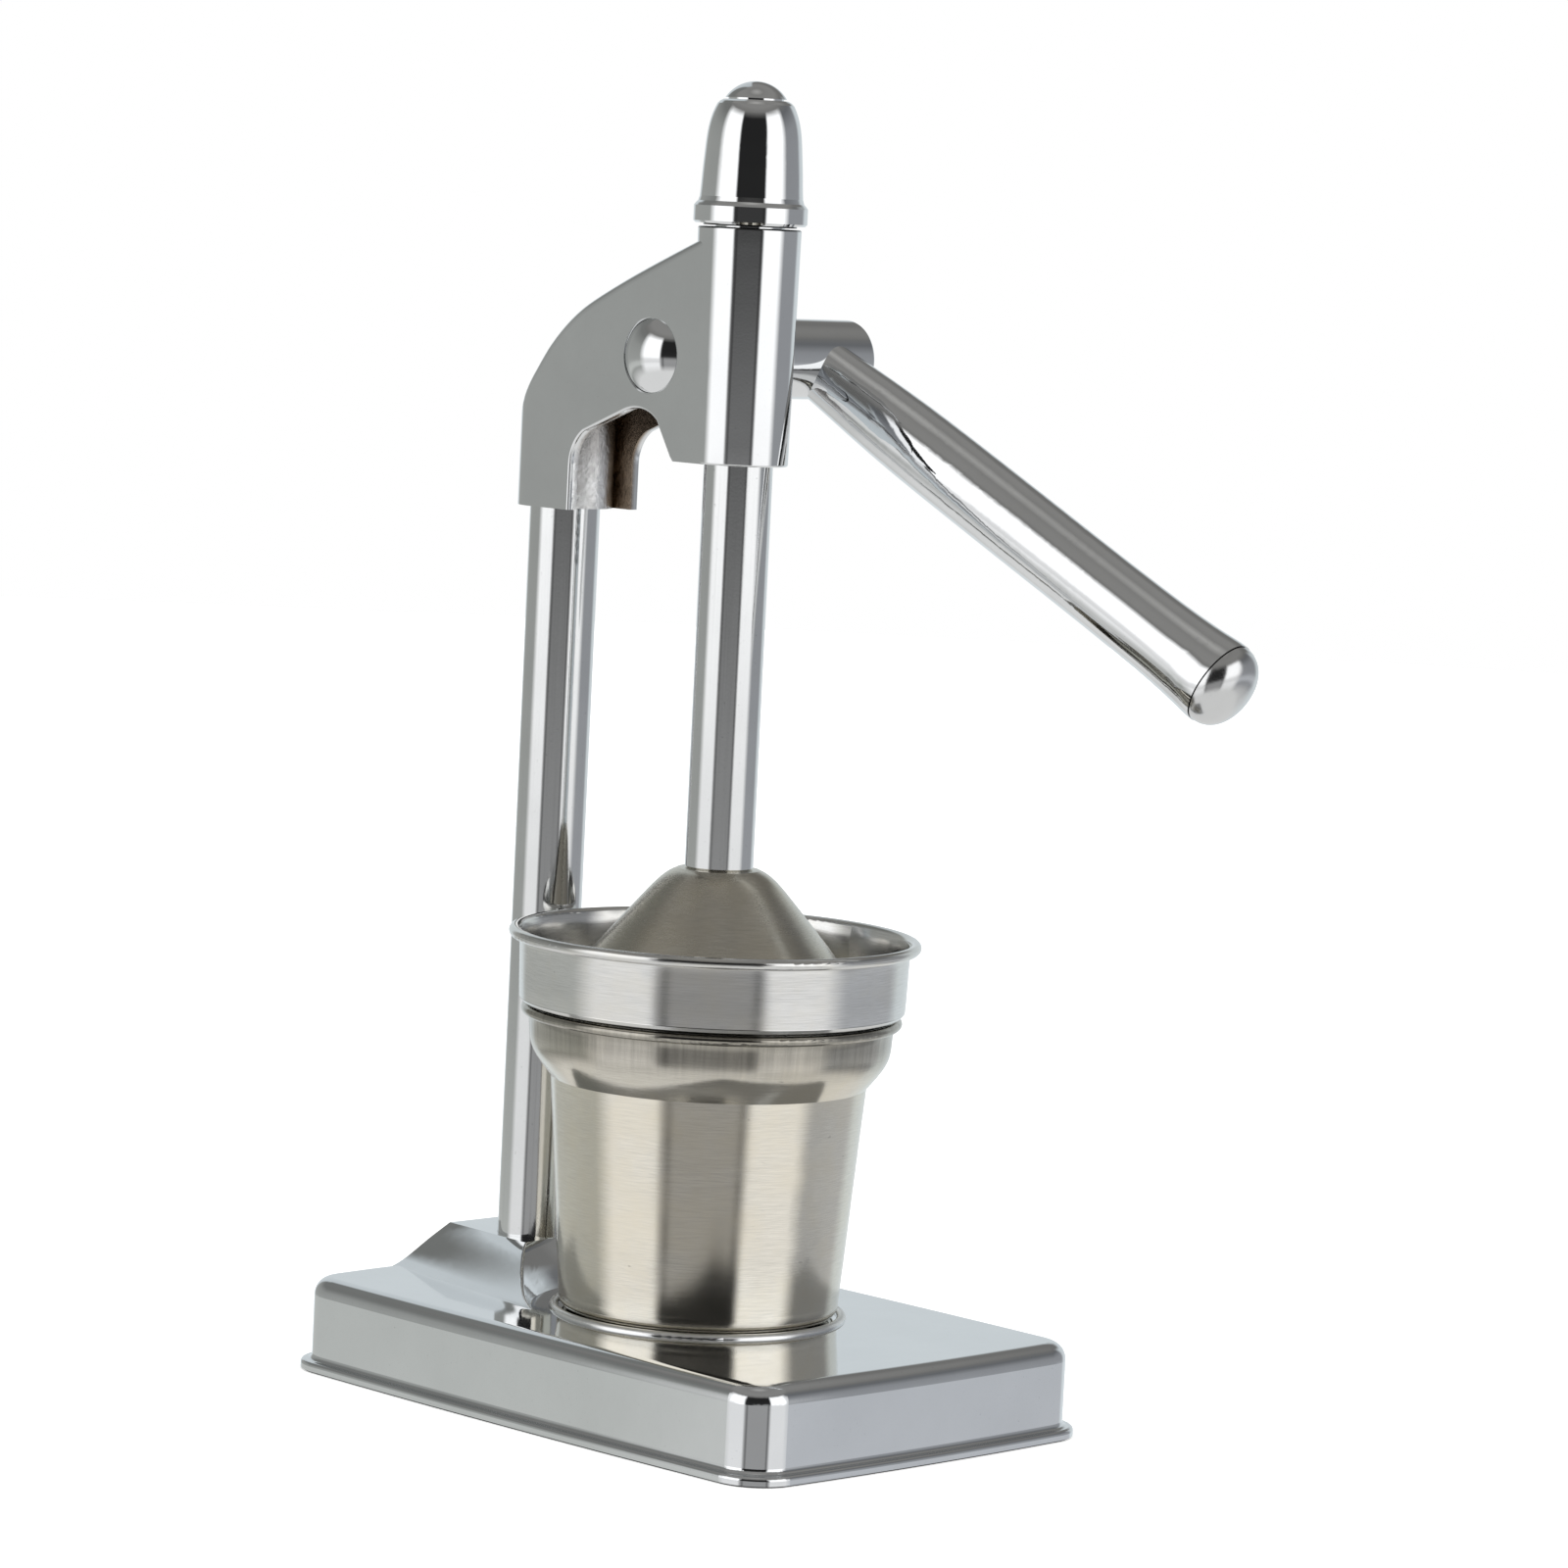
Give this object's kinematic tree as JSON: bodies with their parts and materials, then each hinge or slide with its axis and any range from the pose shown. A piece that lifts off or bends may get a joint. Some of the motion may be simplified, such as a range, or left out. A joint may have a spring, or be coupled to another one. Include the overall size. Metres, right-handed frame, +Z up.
{
  "type": "citrus press juicer",
  "caption": "Lever citrus press: chromed base and column, rack-driven press cone, strainer bowl with reamer on a steel juice cup.",
  "frame": {"origin": "centre of the base's resting face, on the table", "axes": "+Z up along the column, -Y the front where the user stands, +X the user's right, the side of the lever"},
  "size_m": [0.158, 0.2259, 0.3708],
  "materials": {
    "chrome": "polished chrome plate",
    "brushed_steel": "circumferentially brushed stainless sheet",
    "satin_steel": "satin stainless sheet",
    "plain_steel": "machined steel",
    "black_steel": "black oxide screws",
    "bronze": "sintered bronze",
    "black_rubber": "matt rubber"
  },
  "bodies": {
    "stand": {"base_shell": "chrome", "rim_strip": "black_rubber", "stiffener": "plain_steel", "column_tube": "chrome", "column_plug": "plain_steel", "column_washer": "plain_steel", "column_bolt": "plain_steel", "head_casting": "chrome", "head_set_screws": "black_steel", "guide_bush_lower": "bronze", "guide_bush_upper": "bronze", "pivot_bush_left": "bronze", "pivot_bush_right": "bronze", "pivot_cap": "chrome"},
    "lever": {"pivot_shaft": "plain_steel", "pinion_key": "plain_steel", "drive_pinion": "plain_steel", "lever_hub": "chrome", "hub_screw": "black_steel", "lever_tube": "chrome", "lever_end_cap": "chrome"},
    "ram": {"ram_bar": "chrome", "top_cap": "chrome", "cap_button": "chrome", "cap_stud": "plain_steel", "press_cone": "satin_steel", "cone_washer": "satin_steel", "cone_screw": "satin_steel"},
    "cup": {"juice_cup": "brushed_steel"},
    "bowl": {"strainer_bowl": "satin_steel", "reamer_cone": "satin_steel"}
  },
  "joints": [
    {"name": "lever_turn", "type": "hinge", "parent": "stand", "child": "lever", "pos_m": [0, 0.0186, 0.2937], "axis": [-1, 0, 0], "range_deg": [0, 200]},
    {"name": "ram_slide", "type": "slide", "parent": "stand", "child": "ram", "axis": [0, 0, 1], "range_m": [0, 0.0525]},
    {"name": "cup_spin", "type": "hinge", "parent": "stand", "child": "cup", "pos_m": [0, -0.0046, 0.0266], "axis": [0, 0, 1], "continuous": true},
    {"name": "bowl_spin", "type": "hinge", "parent": "cup", "child": "bowl", "pos_m": [0, -0.0046, 0.112], "axis": [0, 0, 1], "continuous": true}
  ],
  "couplings": [
    {"joint": "ram_slide", "follows": "lever_turn", "m_per_rad": 0.015}
  ]
}
